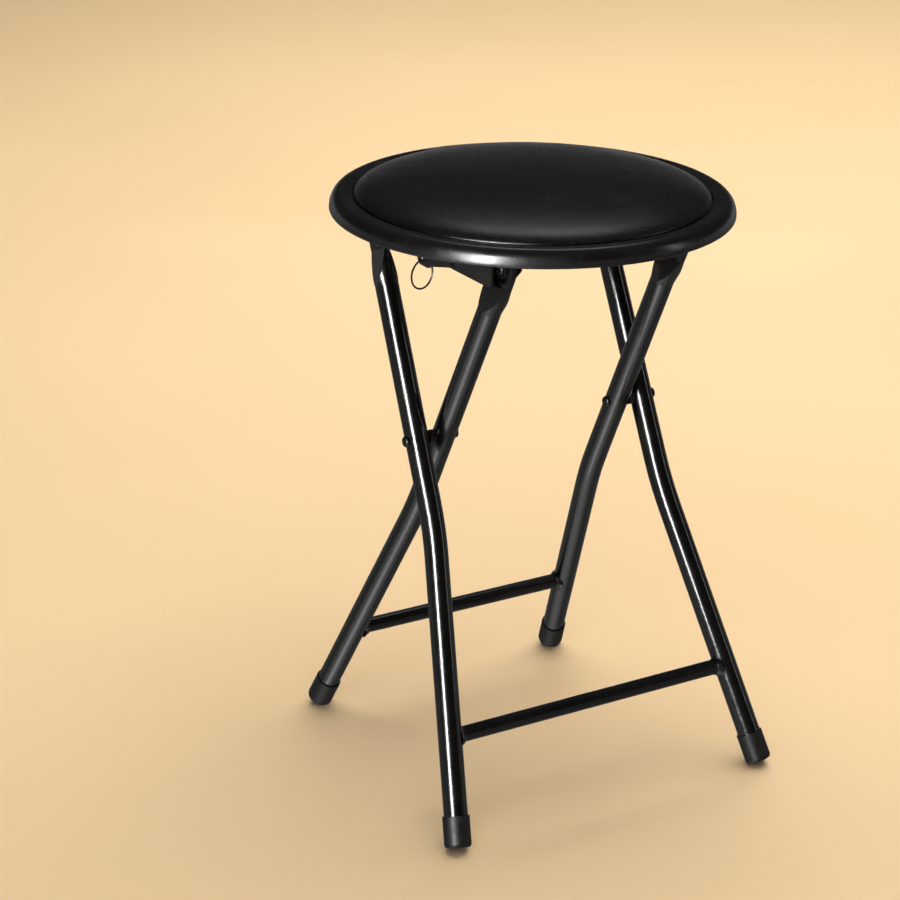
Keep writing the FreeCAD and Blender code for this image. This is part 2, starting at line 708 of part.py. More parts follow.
flange_trim("outer_flange_back", BRACKET_OUT, [
    (BACK_END, UNDER), (BACK_END, f"{STUD_Z} + bracket_corner"),
    (f"{BACK_END} - trim_over", f"{STUD_Z} + bracket_corner"),
    (f"{BACK_END} - trim_over - bracket_corner", low), (f"{BACK_END} - trim_over - bracket_corner", UNDER)])
flange_trim("inner_flange_low", BRACKET_IN, [
    (f"{HINGE_Y} + bracket_front_ear", UNDER), (BACK_END, UNDER),
    (BACK_END, f"{HINGE_Z} - stud_diameter / 2"),
    (f"{HINGE_Y} + bracket_front_ear * 2", f"{HINGE_Z} - stud_diameter / 2"),
    (f"{HINGE_Y} + bracket_front_ear", f"{HINGE_Z} - bracket_front_ear")])
flange_trim("inner_flange_front", BRACKET_IN, [
    (FRONT_END, UNDER), (f"{HINGE_Y} + bracket_front_ear + trim_over", UNDER),
    (f"{HINGE_Y} + bracket_front_ear + trim_over", f"{HINGE_Z} - bracket_front_ear"),
    (HINGE_Y, f"{HINGE_Z} - bracket_front_ear"),
    (f"{HINGE_Y} - bracket_front_ear", HINGE_Z),
    (FRONT_END, HINGE_Z)],
    {3: ("bracket_front_ear", -1)})

# The notch is round about the stud and opens along the way that the stud leaves the seat.
notch = new_sketch(channel, "notch_outline", "YZ", z=f"{outer} + bracket_wall / 2")
room = "(stud_diameter / 2 + notch_clearance)"
down_y, down_z = "(0 - sin(notch_angle))", "(0 - cos(notch_angle))"
side_y, side_z = "cos(notch_angle)", "(0 - sin(notch_angle))"
notch_corners = []
for across, along in ((f"(0 - {room})", "0"), (f"(0 - {room} - notch_flare)", "notch_length"),
                      (room, "notch_length"), (room, "0")):
    notch_corners.append((f"{STUD_Y} + {across} * {side_y} + {along} * {down_y}",
                          f"{STUD_Z} + {across} * {side_z} + {along} * {down_z}"))
NOTCH_TOP = (f"{STUD_Y} - {room} * {down_y}", f"{STUD_Z} - {room} * {down_z}")
outline(notch, notch_corners + [NOTCH_TOP], {3: (room, 1), 4: (room, 1)})
pocket(channel, "stud_notch", notch, FLANGE_CUT)
hinge_hole = new_sketch(channel, "hinge_hole_outline", "YZ",
                        z=f"{inner} - bracket_wall / 2")
ring_outline(hinge_hole, "pin_diameter / 2 + pin_clearance", x=HINGE_Y, y=HINGE_Z)
pocket(channel, "hinge_hole", hinge_hole, FLANGE_CUT)
screw_holes = new_sketch(channel, "screw_hole_outline", "XY", z=WEB_TOP)
SCREW_X = f"(({outer} + {inner}) / 2)"
SCREW_FIRST = f"({HINGE_Y} + screw_first)"
for number in range(2):
    ring_outline(screw_holes, "screw_diameter / 2 + pin_clearance", x=SCREW_X,
                 y=f"{SCREW_FIRST} + {number} * screw_pitch")
channel.Tip = pocket(channel, "screw_holes", screw_holes, "bracket_wall * 4")
lever_bore = cylinder("lever_bore", "lever_pin_diameter / 2 + pin_clearance", "bracket_wall * 3",
                      place(x=f"{outer} - bracket_wall", y=STUD_Y, z=LEVER_Z,
                            axis="0; 1; 0", turn="90"))
LEVER_FRONT_Y = f"({STUD_Y} - lever_front)"
LEVER_FRONT_Z = f"({LEVER_Z} - lever_front_drop)"
POST_Z = f"({WEB_TOP} - post_below_web)"
LEVER_X = f"({outer} - side_gap)"
LEVER_OUT = f"({LEVER_X} - lever_thickness)"
SPRING_X = f"({LEVER_OUT} - side_gap - spring_radius - spring_wire / 2)"


def spring_post(name, start, z):
    """A pin pressed out of a plate towards the left, with a head that keeps the loop on."""
    tip = f"({SPRING_X} - spring_wire / 2 - side_gap)"
    pin = cylinder(name + "_pin", "post_diameter / 2", f"{start} - {tip}",
                   place(x=tip, y=LEVER_FRONT_Y, z=z, axis="0; 1; 0", turn="90"))
    head = cylinder(name + "_head", "post_head_diameter / 2", "post_head_height",
                    place(x=f"{tip} - post_head_height", y=LEVER_FRONT_Y, z=z,
                          axis="0; 1; 0", turn="90"))
    return pin, head


def fused(label, pieces):
    result = doc.addObject("Part::MultiFuse", label)
    result.Label = label
    result.Shapes = pieces
    return result


bracket_left = fused("bracket_left", [
    cut("bracket_left_bored", channel, lever_bore),
    *spring_post("bracket_post", f"({outer} + bracket_wall / 2)", POST_Z)])
keep(bracket_left, mirrored("bracket_right", channel))

# Bracket screws: pan heads under the channel's web, with points that bite into the board
screws = []
for side, sign in (("left", ""), ("right", "0 - ")):
    for number in range(2):
        name = f"bracket_screw_{side}_{number + 1}"
        screw = new_body(name, place(x=f"{sign}{SCREW_X}", z=f"{WEB_LOW} - pin_clearance",
                                     y=f"{SCREW_FIRST} + {number} * screw_pitch"))
        section = new_sketch(screw, name + "_section", "XZ")
        outline(section, [("0", "0 - screw_head_height"),
                          ("screw_head_diameter / 2", "0 - screw_head_height"),
                          ("screw_head_diameter / 2", "0"), ("screw_diameter / 2", "0"),
                          ("0", "bracket_wall + bracket_gap + screw_length")])
        screw.Tip = revolve(screw, name + "_turned", section)
        screws.append(screw)
keep(group("bracket_screws", screws))

# Latch lever: a plate outside the left bracket. Its hook comes round behind the stud and under
# it, and its front arm carries the tab for the pull ring. All heights hang from its pivot.
lever = new_body("lever_blank", place(y=STUD_Y, z=LEVER_Z))
lever_outline = new_sketch(lever, "lever_outline", "YZ", z=LEVER_X)
hook_inner = "(lever_pivot_up + stud_diameter / 2 + hook_gap)"
hook_outer = f"({hook_inner} + hook_width)"
behind = "(stud_diameter / 2 + hook_gap)"
turn_inner = f"sqrt(pow({hook_inner}; 2) - pow({behind}; 2))"
turn_outer = f"sqrt(pow({hook_outer}; 2) - pow({behind} + hook_width; 2))"
tip_top = f"sqrt(pow({hook_inner}; 2) - pow(hook_reach; 2))"
tip_low = f"sqrt(pow({hook_outer}; 2) - pow(hook_reach + hook_width / 2; 2))"
tab_front = "(tab_back + tab_width)"
outline(lever_outline, [
    ("lever_boss_radius", "0"),
    (f"{behind} + hook_width", f"0 - {turn_outer}"),
    ("0 - hook_reach - hook_width / 2", f"0 - {tip_low}"),
    ("0 - hook_reach", f"0 - {tip_top}"),
    (behind, f"0 - {turn_inner}"),
    (behind, "0 - lever_boss_radius - hook_gap"),
    ("0 - lever_boss_radius", "0 - lever_boss_radius - hook_gap"),
    ("0 - tab_back + tab_drop - lever_front_drop - lever_front_radius",
     "0 - lever_front_drop - lever_front_radius"),
    ("0 - tab_back", "0 - tab_drop + tab_radius"),
    ("0 - tab_back - tab_radius", "0 - tab_drop"),
    (f"0 - {tab_front} + tab_radius", "0 - tab_drop"),
    (f"0 - {tab_front}", "0 - tab_drop + tab_radius / 2"),
    ("0 - lever_front", "0 - lever_front_drop - lever_front_radius"),
    ("0 - lever_front", "lever_front_radius - lever_front_drop"),
    ("0 - lever_boss_radius * 2", "lever_front_radius - lever_front_drop"),
    ("0", "lever_boss_radius")],
    {1: (hook_outer, -1), 3: (hook_inner, 1), 8: ("tab_radius", -1),
     12: ("lever_front_radius * round_end", -1), 15: ("lever_boss_radius", -1)})
pad(lever, "lever_plate", lever_outline, "lever_thickness", backwards=True)
lever_holes = new_sketch(lever, "lever_hole_outline", "YZ",
                         z=f"{LEVER_X} - lever_thickness / 2")
ring_outline(lever_holes, "lever_pin_diameter / 2 + pin_clearance")
ring_outline(lever_holes, "ring_hole_diameter / 2", x="0 - tab_back - ring_hole_in",
             y="tab_radius - tab_drop")
lever.Tip = pocket(lever, "lever_holes", lever_holes, "lever_thickness * 2")
latch_lever = fused("latch_lever", [
    lever, *spring_post("lever_post", f"({LEVER_X} - lever_thickness / 2)", LEVER_FRONT_Z)])
lever_rivet = left_rivet(
    "lever_rivet", f"({LEVER_OUT} - side_gap)",
    f"({outer} + bracket_wall + pin_clearance)",
    "lever_pin_diameter / 2", STUD_Y, LEVER_Z)
keep(latch_lever, lever_rivet)

# The two wires are drawn with this many sides.
WIRE_SIDES = 5

# Pull ring: round wire through the lever's tab, hanging a little turned
RING_LOW_Z = f"({LEVER_Z} + tab_radius - tab_drop - ring_hole_diameter / 2)"
RING_TOP_Z = f"({RING_LOW_Z} + ring_wire / 2 + side_gap / 2)"
pull_ring = new_body("pull_ring", place(
    x=f"{LEVER_X} - lever_thickness / 2", y=f"{STUD_Y} - tab_back - ring_hole_in",
    z=f"{RING_TOP_Z} - ring_radius", axis="0; 0; 1", turn="ring_angle"))
wire_section = new_sketch(pull_ring, "wire_section", "XY", x="ring_radius")
many_sided(wire_section, "ring_wire", WIRE_SIDES)
ring_turned = revolve(pull_ring, "ring_turned", wire_section)
ring_turned.ReferenceAxis = (pull_ring.Origin.OriginFeatures[1], [""])
pull_ring.Tip = ring_turned
keep(pull_ring)

# Latch spring: open coils of wire with a loop round each post, swept along one tangent path
def bend_between(start, start_way, end, end_way):
    """Two arcs that leave start along start_way and reach end along end_way."""
    chord = end - start
    both = start_way + end_way
    turn = 2 * (1 - start_way.dot(end_way))
    reach = (math.sqrt(chord.dot(both) ** 2 + turn * chord.dot(chord)) - chord.dot(both)) / turn
    middle = (start + end + (start_way - end_way) * reach) * 0.5
    edges = []
    for first, corner, last in ((start, start + start_way * reach, middle),
                                (middle, end - end_way * reach, end)):
        half = (first + last) * 0.5
        slope = math.atan2((corner - half).Length, (last - first).Length / 2)
        rise = (last - first).Length / 2 * math.tan(slope / 2)
        crest = half + (corner - half).normalize() * rise
        edges.append(Part.Arc(first, crest, last).toShape())
    return edges


def spring_path(loop, coil, rise, turns, lead):
    """Loop, coil and loop about the post axes at heights 0 and rise."""
    stops = []
    for step in range(4):
        angle = math.radians(90 * step - 270)
        stops.append((Vector(0, loop * math.sin(angle), loop * math.cos(angle)),
                      Vector(0, math.cos(angle), -math.sin(angle))))
    low = loop + lead
    high = rise - low
    slope = math.atan2((high - low) / turns, 2 * math.pi * coil)
    stops.append((Vector(-coil / 2, coil / 2, (loop + low) / 2),
                  Vector(-math.cos(slope), 0, math.sin(slope))))
    halves = int(round(turns)) * 2
    for step in range(halves + 1):
        angle = math.pi + step * math.pi
        stops.append((Vector(coil * math.cos(angle), coil * math.sin(angle),
                             low + (high - low) * step / halves),
                      Vector(-math.sin(angle) * math.cos(slope),
                             math.cos(angle) * math.cos(slope), math.sin(slope))))
    stops.append((Vector(-coil / 2, -coil / 2, rise - (loop + low) / 2),
                  Vector(math.cos(slope), 0, math.sin(slope))))
    for step in range(4):
        angle = math.radians(180 - 90 * step)
        stops.append((Vector(0, loop * math.sin(angle), rise + loop * math.cos(angle)),
                      Vector(0, -math.cos(angle), math.sin(angle))))
    edges = []
    for (start, start_way), (end, end_way) in zip(stops, stops[1:]):
        edges += bend_between(start, start_way, end, end_way)
    return Part.Wire(edges)


spring = doc.addObject("Part::Feature", "latch_spring")
spring.Label = "latch_spring"
wire_radius = value("spring_wire / 2")
spring_rise = value(f"{POST_Z} - {LEVER_FRONT_Z}")
route = spring_path(value("spring_loop_radius + spring_wire / 2"), value("spring_radius"),
                    spring_rise, value("spring_turns"), value("spring_lead"))
route_start = route.Edges[0]
start_point = route_start.valueAt(route_start.FirstParameter)
start_way = route_start.tangentAt(route_start.FirstParameter)
across = start_way.cross(Vector(1, 0, 0))
wire_corners = [start_point + Vector(math.cos(turn), 0, 0) * wire_radius
                + across * math.sin(turn) * wire_radius
                for turn in (2 * math.pi * side / WIRE_SIDES for side in range(WIRE_SIDES))]
wire_end = Part.makePolygon(wire_corners + wire_corners[:1])
spring.Shape = route.makePipeShell([wire_end], True, False)
bind(spring, "Placement", place(x=SPRING_X, y=LEVER_FRONT_Y, z=LEVER_FRONT_Z))
keep(spring)
spring_ends = value("2 * (spring_loop_radius + spring_wire / 2 + spring_lead)")
spring_pitch = (spring_rise - spring_ends) / value("spring_turns")
print("least gap between the spring's turns:",
      round(spring_pitch - 2 * wire_radius, 3), "mm")

doc.recompute()
for item in doc.Objects:
    troubles = {"Invalid", "Error"} & set(item.State)
    if troubles:
        raise RuntimeError(f"{item.Label} is {troubles}")
for piece in PIECES:
    if piece.Shape.isNull() or not piece.Shape.isValid():
        raise RuntimeError(f"{piece.Label} has no valid shape")

os.makedirs("parts", exist_ok=True)
for piece in PIECES:
    piece.Shape.exportStep(f"parts/{piece.Label}.step")
    box = piece.Shape.BoundBox
    print(f"{piece.Label:24s} {len(piece.Shape.Solids)} solid(s) {piece.Shape.Volume:10.1f} mm3 "
          f"z {box.ZMin:.2f} to {box.ZMax:.2f}")
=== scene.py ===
# %% [markdown]
# A round folding stool: a padded vinyl seat on two crossed frames of black steel tube. The
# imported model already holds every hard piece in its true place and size, so the scene loads it
# first and only adds what a solid can't show: the soft seat, the finishes and the light.

# %% Load the frame and keep its size
import json
import math

import bmesh
import bpy
from mathutils import Matrix, Vector, kdtree, noise


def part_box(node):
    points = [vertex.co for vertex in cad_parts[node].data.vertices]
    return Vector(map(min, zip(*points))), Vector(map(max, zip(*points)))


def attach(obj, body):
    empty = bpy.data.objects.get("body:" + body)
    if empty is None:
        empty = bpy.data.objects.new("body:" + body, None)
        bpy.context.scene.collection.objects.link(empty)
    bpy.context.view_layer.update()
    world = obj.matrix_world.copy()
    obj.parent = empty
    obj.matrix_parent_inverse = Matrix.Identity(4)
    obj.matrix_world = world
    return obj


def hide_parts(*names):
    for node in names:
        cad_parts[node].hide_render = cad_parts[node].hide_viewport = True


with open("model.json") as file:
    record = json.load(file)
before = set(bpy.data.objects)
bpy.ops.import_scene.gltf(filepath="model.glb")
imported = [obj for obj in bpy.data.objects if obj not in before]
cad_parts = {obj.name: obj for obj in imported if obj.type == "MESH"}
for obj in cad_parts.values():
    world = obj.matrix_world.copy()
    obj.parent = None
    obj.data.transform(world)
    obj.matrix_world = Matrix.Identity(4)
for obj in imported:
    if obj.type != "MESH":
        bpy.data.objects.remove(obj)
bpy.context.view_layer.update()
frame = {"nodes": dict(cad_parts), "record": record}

MM = 0.001

# %% [markdown]
# The camera stands at the front left, a little above the seat and far away, so the lens is long.
# Its place and turn come from fitting the outlines of the real stool. A camera looks along its
# own -Z, with +Y up, so its matrix is built from the three directions of its axes.

# %% Camera
CAMERA_AT = Vector((-0.9991, -1.5398, 0.9681))
CAMERA_LOOKS_AT = Vector((-0.0547, 0.0220, 0.2477))
CAMERA_ROLL = math.radians(0.92)
CAMERA_LENS = 102.42

looking = (CAMERA_LOOKS_AT - CAMERA_AT).normalized()
level_right = looking.cross(Vector((0, 0, 1))).normalized()
level_up = level_right.cross(looking)
camera_right = level_right * math.cos(CAMERA_ROLL) + level_up * math.sin(CAMERA_ROLL)
camera_up = level_up * math.cos(CAMERA_ROLL) - level_right * math.sin(CAMERA_ROLL)
camera = bpy.data.objects.new("camera", bpy.data.cameras.new("camera"))
camera.data.lens = CAMERA_LENS
camera.data.sensor_width = 36.0
camera.data.clip_end = 100.0
turned = Matrix((camera_right, camera_up, -looking)).transposed()
camera.matrix_world = Matrix.Translation(CAMERA_AT) @ turned.to_4x4()
bpy.context.collection.objects.link(camera)
bpy.context.scene.camera = camera
print("camera is", round((CAMERA_LOOKS_AT - CAMERA_AT).length, 3), "m from the stool")

# %% [markdown]
# The stool stands on a plain pale floor. Black gloss shows almost nothing but what it reflects,
# so the lights matter more than the paint. A wide softbox overhead lights the floor and gives the
# soft shade under the seat, and two weaker ones fill in from behind and in front. The strips and
# cards show in gloss alone, as reflectors do in a studio, so each draws its own line or sheen
# without lighting the floor again.

# %% Floor
FLOOR_REACH = 30.0
floor_shape = bmesh.new()
bmesh.ops.create_grid(floor_shape, x_segments=2, y_segments=2, size=FLOOR_REACH)
floor_mesh = bpy.data.meshes.new("floor")
floor_shape.to_mesh(floor_mesh)
floor_shape.free()
floor = bpy.data.objects.new("floor", floor_mesh)
bpy.context.collection.objects.link(floor)

# %% Lights
def softbox(name, place, looks_at, width, height, power, in_gloss, in_matt):
    """A rectangular light that faces a point, and the kinds of surface that it shows on."""
    light = bpy.data.lights.new(name, "AREA")
    light.shape = "RECTANGLE"
    light.size = width
    light.size_y = height
    light.energy = power
    lamp = bpy.data.objects.new(name, light)
    lamp.location = place
    lamp.rotation_euler = (Vector(looks_at) - Vector(place)).to_track_quat("-Z", "Y").to_euler()
    lamp.visible_glossy = in_gloss
    lamp.visible_diffuse = in_matt
    lamp.visible_camera = False
    bpy.context.collection.objects.link(lamp)
    return lamp


STOOL_MIDDLE = (0, 0, 0.25)
SEAT_MIDDLE = (0, 0, 0.45)
softbox("overhead", (1.1, 0.75, 2.6), (1.0, 0.7, 0.0), 3.4, 3.4, 112, False, True)
softbox("over_background", (1.8, 2.0, 1.9), (1.8, 2.0, 0.0), 1.5, 1.5, 9, False, True)
softbox("front_fill", (-1.2, -2.0, 2.2), (-0.3, -0.1, 0.0), 2.4, 2.4, 30, False, True)
softbox("strip_left", (-1.90, -1.15, 0.74), STOOL_MIDDLE, 0.60, 1.66, 150, True, False)
softbox("strip_right", (1.9, -1.5, 1.0), STOOL_MIDDLE, 0.14, 1.2, 3, True, False)
softbox("seat_card", (0.81, 1.09, 2.5), SEAT_MIDDLE, 1.2, 0.7, 5.0, True, False)
softbox("far_card", (0.78, 1.28, 0.13), SEAT_MIDDLE, 0.9, 0.14, 0.7, True, False)


# %% [markdown]
# Seen in gloss, the surroundings are grey: dark above, with a thin pale line on the horizon, and
# below it a broad pale patch to the lower left with a bright heart, which gives the legs that
# lean away their soft line. The floor itself is left out of the gloss. Both parts are ramps: one
# over the height of a direction, and one over how close it comes to the patch's middle.

# %% Surroundings
HEIGHT_STEPS = ((0.0, 0.12), (0.35, 0.14), (0.494, 0.30), (0.50, 0.80), (0.512, 0.03),
                (0.75, 0.012), (1.0, 0.05))
PATCH_TOWARDS = (-0.533, -0.248, -0.809)
PATCH_STEPS = ((0.0, 0.0), (0.60, 0.08), (0.76, 0.28), (0.88, 0.80), (0.965, 1.15), (0.99, 3.4))

world = bpy.data.worlds.new("studio")
world.use_nodes = True
sky_nodes, sky_links = world.node_tree.nodes, world.node_tree.links
direction = sky_nodes.new("ShaderNodeTexCoord").outputs["Generated"]


def grey_ramp(value, steps):
    """Grey that follows a value from 0 to 1 through a few steps."""
    ramp = sky_nodes.new("ShaderNodeValToRGB")
    for number, (place, grey) in enumerate(steps):
        if number < 2:
            step = ramp.color_ramp.elements[number]
        else:
            step = ramp.color_ramp.elements.new(place)
        step.position = place
        step.color = (grey, grey, grey, 1.0)
    sky_links.new(value, ramp.inputs["Fac"])
    return ramp.outputs["Color"]


upward = sky_nodes.new("ShaderNodeSeparateXYZ")
sky_links.new(direction, upward.inputs["Vector"])
height_share = sky_nodes.new("ShaderNodeMapRange")
height_share.inputs["From Min"].default_value = -1.0
sky_links.new(upward.outputs["Z"], height_share.inputs["Value"])
closeness = sky_nodes.new("ShaderNodeVectorMath")
closeness.operation = "DOT_PRODUCT"
closeness.inputs[1].default_value = PATCH_TOWARDS
sky_links.new(direction, closeness.inputs[0])
both = sky_nodes.new("ShaderNodeMixRGB")
both.blend_type = "ADD"
both.inputs["Fac"].default_value = 1.0
sky_links.new(grey_ramp(height_share.outputs["Result"], HEIGHT_STEPS), both.inputs["Color1"])
sky_links.new(grey_ramp(closeness.outputs["Value"], PATCH_STEPS), both.inputs["Color2"])
sky_links.new(both.outputs["Color"], sky_nodes["Background"].inputs["Color"])
bpy.context.scene.world = world
floor.visible_glossy = False
bpy.context.scene.view_settings.view_transform = "Standard"

# %% [markdown]
# Every finish is a Principled shader fed by noise in Object coordinates. A finished piece sits at
# the origin, so these coordinates are metres in the stool's own frame, and a scale of 1000 gives
# a pattern about a millimetre across. Three small helpers do what all the finishes share.

# %% Helpers for the finishes
def new_finish(name):
    """A material with its shader and the coordinates that its patterns follow."""
    finish = bpy.data.materials.new(name)
    finish.use_nodes = True
    nodes = finish.node_tree.nodes
    shader = nodes["Principled BSDF"]
    where = nodes.new("ShaderNodeTexCoord").outputs["Object"]
    return finish, nodes, finish.node_tree.links, shader, where


def speckle(nodes, links, where, scale, detail=3.0, rough=0.5):
    """Noise of a scale in patterns per metre."""
    pattern = nodes.new("ShaderNodeTexNoise")
    pattern.inputs["Scale"].default_value = scale
    pattern.inputs["Detail"].default_value = detail
    pattern.inputs["Roughness"].default_value = rough
    links.new(where, pattern.inputs["Vector"])
    return pattern.outputs["Fac"]


def spread(nodes, links, pattern, low, high, start=0.3, end=0.7):
    """Stretch a pattern to run between two values."""
    stretch = nodes.new("ShaderNodeMapRange")
    stretch.inputs["From Min"].default_value = start
    stretch.inputs["From Max"].default_value = end
    stretch.inputs["To Min"].default_value = low
    stretch.inputs["To Max"].default_value = high
    links.new(pattern, stretch.inputs["Value"])
    return stretch.outputs["Result"]


def two_tones(nodes, links, pattern, dark, light, start=0.35, end=0.65):
    """Colour that runs between two tones with a pattern."""
    ramp = nodes.new("ShaderNodeValToRGB")
    ramp.color_ramp.elements[0].position = start
    ramp.color_ramp.elements[0].color = (*dark, 1.0)
    ramp.color_ramp.elements[1].position = end
    ramp.color_ramp.elements[1].color = (*light, 1.0)
    links.new(pattern, ramp.inputs["Fac"])
    return ramp.outputs["Color"]


def relief(nodes, links, shader, height, depth, strength, below=None):
    """Bump of a depth in metres, laid over an earlier one if there is one."""
    bump = nodes.new("ShaderNodeBump")
    bump.inputs["Distance"].default_value = depth
    bump.inputs["Strength"].default_value = strength
    links.new(height, bump.inputs["Height"])
    if below:
        links.new(below, bump.inputs["Normal"])
    links.new(bump.outputs["Normal"], shader.inputs["Normal"])
    return bump.outputs["Normal"]


# %% [markdown]
# The tubes are powder coated: a thick, glossy black skin with the faint ripple that painters
# call orange peel. The ripple is what makes a long highlight waver, so it is worth its nodes.
# A second, much finer noise stands for dust in the coat.

# %% Powder coat on the tubes and stretchers
def powder_coat(name, peel_scale, peel_depth, gloss):
    """Black powder coat, smoother where gloss is lower."""
    finish, nodes, links, shader, where = new_finish(name)
    cloudy = speckle(nodes, links, where, scale=14.0)
    tone = two_tones(nodes, links, cloudy, (0.0035, 0.0034, 0.0035), (0.0065, 0.0062, 0.0062))
    links.new(tone, shader.inputs["Base Color"])
    dusty = speckle(nodes, links, where, scale=90.0, detail=6.0, rough=0.65)
    links.new(spread(nodes, links, dusty, gloss, gloss + 0.10), shader.inputs["Roughness"])
    shader.inputs["Specular IOR Level"].default_value = 0.35
    shader.inputs["Coat Weight"].default_value = 0.30
    shader.inputs["Coat Roughness"].default_value = 0.06
    peel = speckle(nodes, links, where, peel_scale, detail=2.0)
    first = relief(nodes, links, shader, peel, peel_depth, strength=0.35)
    grit = speckle(nodes, links, where, peel_scale * 5, detail=2.0)
    relief(nodes, links, shader, grit, peel_depth * 0.12, strength=0.3, below=first)
    return finish


tube_coat = powder_coat("tube_powder_coat", peel_scale=260.0, peel_depth=0.30 * MM, gloss=0.16)
weld_coat = powder_coat("weld_powder_coat", peel_scale=420.0, peel_depth=0.60 * MM, gloss=0.12)

# %% [markdown]
# The rim is pressed from sheet and sprayed with a satin enamel. It is less shiny than the tubes
# and has a fine grain of its own, so its highlight is broad and soft. The brackets and the lever
# have a rougher coat of the same kind.

# %% Satin enamel on the rim and the sheet parts
def satin_enamel(name, gloss, grain_scale, grain_depth):
    """Black enamel with a fine grain, smoother where gloss is lower."""
    finish, nodes, links, shader, where = new_finish(name)
    cloudy = speckle(nodes, links, where, scale=9.0)
    tone = two_tones(nodes, links, cloudy, (0.0045, 0.0043, 0.0044), (0.0085, 0.0082, 0.0083))
    links.new(tone, shader.inputs["Base Color"])
    worn = speckle(nodes, links, where, scale=40.0, detail=5.0, rough=0.6)
    links.new(spread(nodes, links, worn, gloss, gloss + 0.12), shader.inputs["Roughness"])
    grain = speckle(nodes, links, where, grain_scale, detail=3.0, rough=0.6)
    relief(nodes, links, shader, grain, grain_depth, strength=0.4)
    return finish


rim_enamel = satin_enamel("rim_satin_enamel", gloss=0.20, grain_scale=900.0,
                          grain_depth=0.02 * MM)
bracket_enamel = satin_enamel("bracket_satin_enamel", gloss=0.34, grain_scale=500.0,
                              grain_depth=0.12 * MM)

# %% [markdown]
# The cover is black vinyl on a cloth back, embossed with a fine leather grain. Real grain is a
# net of shallow creases round small cells, which a Voronoi pattern gives by the distance to the
# cells' edges. A little noise bends the cells so that they don't look like tiles, and a fine
# speckle in the colour keeps the grain in sight from further away.

# %% Embossed vinyl
def embossed_vinyl(name):
    """Black vinyl with a leather grain."""
    finish, nodes, links, shader, where = new_finish(name)
    bend = nodes.new("ShaderNodeTexNoise")
    bend.inputs["Scale"].default_value = 350.0
    links.new(where, bend.inputs["Vector"])
    shift = nodes.new("ShaderNodeMixRGB")
    shift.blend_type = "ADD"
    shift.inputs["Fac"].default_value = 0.0009
    links.new(where, shift.inputs["Color1"])
    links.new(bend.outputs["Color"], shift.inputs["Color2"])
    cells = nodes.new("ShaderNodeTexVoronoi")
    cells.feature = "DISTANCE_TO_EDGE"
    cells.inputs["Scale"].default_value = 720.0
    links.new(shift.outputs["Color"], cells.inputs["Vector"])
    creases = spread(nodes, links, cells.outputs["Distance"], 0.0, 1.0, start=0.0, end=0.16)
    fine = speckle(nodes, links, where, scale=850.0, detail=2.0, rough=0.6)
    tone = two_tones(nodes, links, fine, (0.0012, 0.0011, 0.0012), (0.0125, 0.0112, 0.0115))
    links.new(tone, shader.inputs["Base Color"])
    handled = speckle(nodes, links, where, scale=22.0, detail=4.0, rough=0.6)
    links.new(spread(nodes, links, handled, 0.22, 0.28), shader.inputs["Roughness"])
    shader.inputs["Specular IOR Level"].default_value = 0.45
    first = relief(nodes, links, shader, creases, 0.07 * MM, strength=0.5)
    soft = speckle(nodes, links, where, scale=60.0, detail=2.0)
    relief(nodes, links, shader, soft, 0.20 * MM, strength=0.2, below=first)
    return finish


vinyl = embossed_vinyl("cover_vinyl")

# %% [markdown]
# The small parts: black zinc on rivets, studs and screws, dark spring wire, moulded plastic on
# the feet, and black-stained plywood for the board, which only shows from below.

# %% Zinc, wire, plastic and plywood
def black_metal(name, dark, light, metal, gloss, patch_scale):
    """Dark metal in two patchy tones."""
    finish, nodes, links, shader, where = new_finish(name)
    patchy = speckle(nodes, links, where, patch_scale, detail=5.0, rough=0.6)
    links.new(two_tones(nodes, links, patchy, dark, light), shader.inputs["Base Color"])
    links.new(spread(nodes, links, patchy, gloss, gloss + 0.16), shader.inputs["Roughness"])
    shader.inputs["Metallic"].default_value = metal
    grain = speckle(nodes, links, where, scale=1600.0)
    relief(nodes, links, shader, grain, 0.04 * MM, strength=0.4)
    return finish


def moulded_plastic(name):
    """Black plastic with scuffs."""
    finish, nodes, links, shader, where = new_finish(name)
    scuffed = speckle(nodes, links, where, scale=160.0, detail=6.0, rough=0.7)
    tone = two_tones(nodes, links, scuffed, (0.010, 0.010, 0.0105), (0.020, 0.0195, 0.019),
                     start=0.45, end=0.75)
    links.new(tone, shader.inputs["Base Color"])
    links.new(spread(nodes, links, scuffed, 0.36, 0.55), shader.inputs["Roughness"])
    shader.inputs["Specular IOR Level"].default_value = 0.22
    grain = speckle(nodes, links, where, scale=1300.0, detail=2.0)
    relief(nodes, links, shader, grain, 0.06 * MM, strength=0.5)
    return finish


def plywood(name):
    """Black-stained wood whose fibres run along X."""
    finish, nodes, links, shader, where = new_finish(name)
    stretch = nodes.new("ShaderNodeMapping")
    stretch.inputs["Scale"].default_value = (3.0, 60.0, 60.0)
    links.new(where, stretch.inputs["Vector"])
    fibres = speckle(nodes, links, stretch.outputs["Vector"], scale=6.0, detail=8.0, rough=0.6)
    tone = two_tones(nodes, links, fibres, (0.008, 0.007, 0.006), (0.022, 0.019, 0.016))
    links.new(tone, shader.inputs["Base Color"])
    links.new(spread(nodes, links, fibres, 0.55, 0.72), shader.inputs["Roughness"])
    relief(nodes, links, shader, fibres, 0.25 * MM, strength=0.5)
    return finish


zinc = black_metal("fastener_black_zinc", (0.012, 0.012, 0.013), (0.030, 0.029, 0.028),
                   metal=0.6, gloss=0.22, patch_scale=300.0)
wire = black_metal("dark_spring_wire", (0.030, 0.029, 0.028), (0.075, 0.072, 0.070),
                   metal=0.9, gloss=0.24, patch_scale=500.0)
cap_plastic = moulded_plastic("foot_cap_plastic")
board_wood = plywood("board_plywood")

# %% [markdown]
# Each solid keeps its shape and gets the finish of its material slot.

